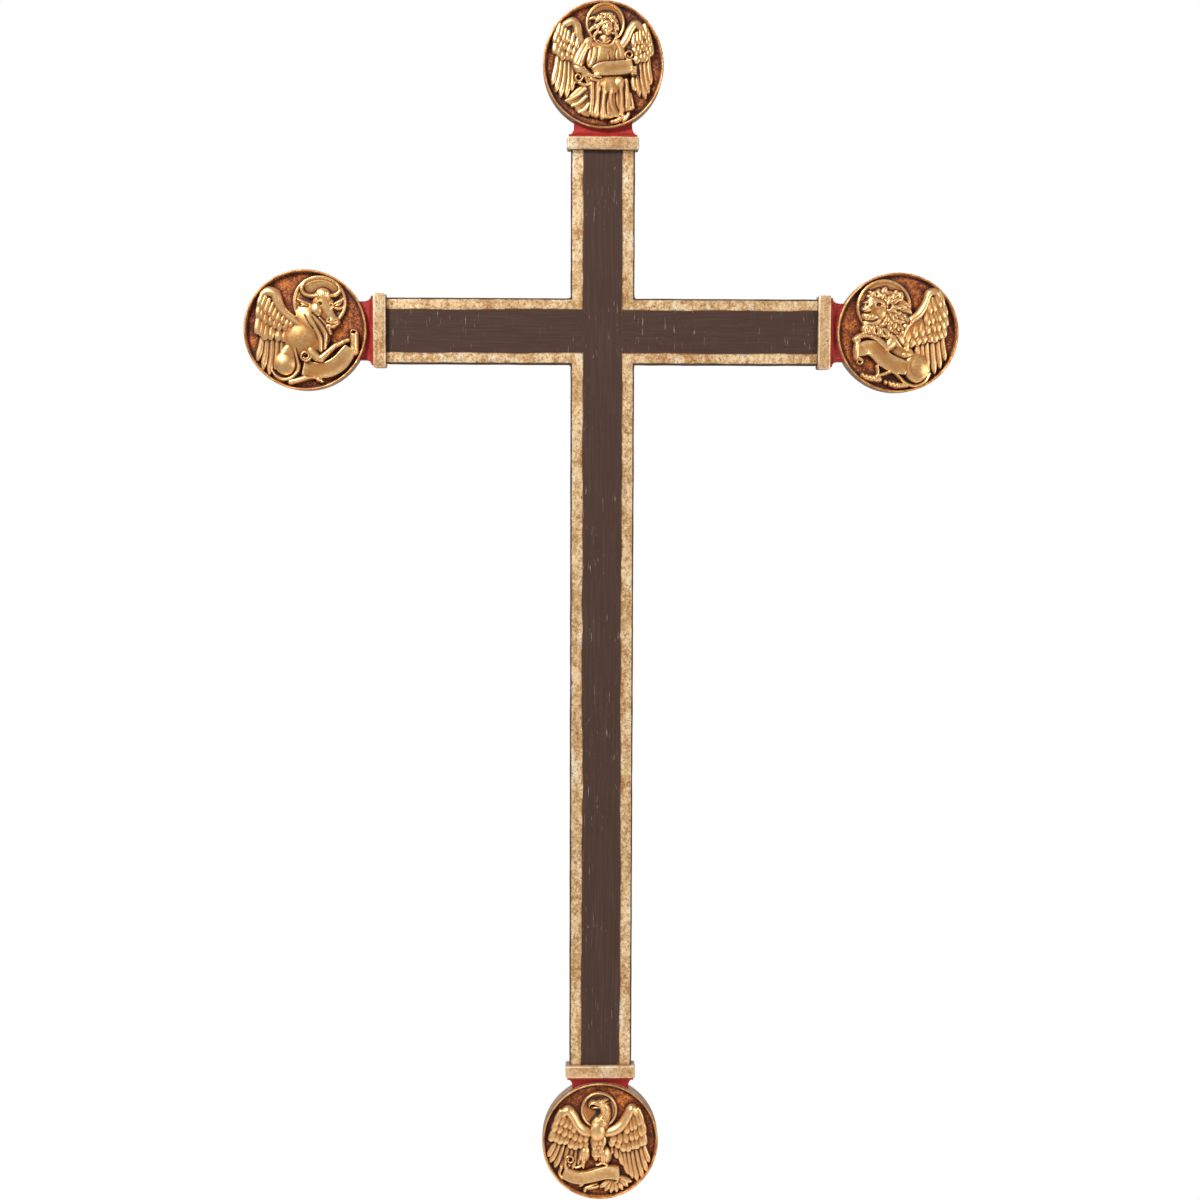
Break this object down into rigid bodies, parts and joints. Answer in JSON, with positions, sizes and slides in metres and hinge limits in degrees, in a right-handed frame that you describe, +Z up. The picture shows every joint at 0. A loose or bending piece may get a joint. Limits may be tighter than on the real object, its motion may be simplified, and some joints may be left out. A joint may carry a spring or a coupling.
{
  "type": "altar cross",
  "caption": "Wall-hung altar cross in painted and gilded wood: lapped beams, red hollow-moulded necks and round medallions with carved winged figures, keyhole hanger behind.",
  "frame": {"origin": "centre of the crossing of upright and crossbar, on the flat back", "axes": "+Z up along the upright, +X along the crossbar, front faces -Y, back is the plane y = 0"},
  "size_m": [0.588, 0.0202, 0.9999],
  "materials": {
    "painted_wood": "matte dark brown paint with gilded borders, raw wood behind",
    "gilded_wood": "pale gold leaf over gesso, lightly worn",
    "red_paint": "satin red paint",
    "glazed_wood": "stippled brown glaze over gold, gold rim",
    "bright_gilding": "burnished gold leaf with brown glaze in the recesses",
    "dowel_wood": "raw beech",
    "zinc_steel": "zinc plated"
  },
  "bodies": {
    "root": {"upright": "painted_wood", "crossbar": "painted_wood", "top_end_plate": "gilded_wood", "top_neck": "red_paint", "top_medallion": "glazed_wood", "top_dowel_1": "dowel_wood", "top_dowel_2": "dowel_wood", "bottom_end_plate": "gilded_wood", "bottom_neck": "red_paint", "bottom_medallion": "glazed_wood", "bottom_dowel_1": "dowel_wood", "bottom_dowel_2": "dowel_wood", "left_end_plate": "gilded_wood", "left_neck": "red_paint", "left_medallion": "glazed_wood", "left_dowel_1": "dowel_wood", "left_dowel_2": "dowel_wood", "right_end_plate": "gilded_wood", "right_neck": "red_paint", "right_medallion": "glazed_wood", "right_dowel_1": "dowel_wood", "right_dowel_2": "dowel_wood", "angel_relief": "bright_gilding", "ox_relief": "bright_gilding", "lion_relief": "bright_gilding", "eagle_relief": "bright_gilding", "hanger_plate": "zinc_steel", "hanger_screw_1": "zinc_steel", "hanger_screw_2": "zinc_steel", "lap_screw_1": "zinc_steel", "lap_screw_2": "zinc_steel"}
  },
  "joints": []
}
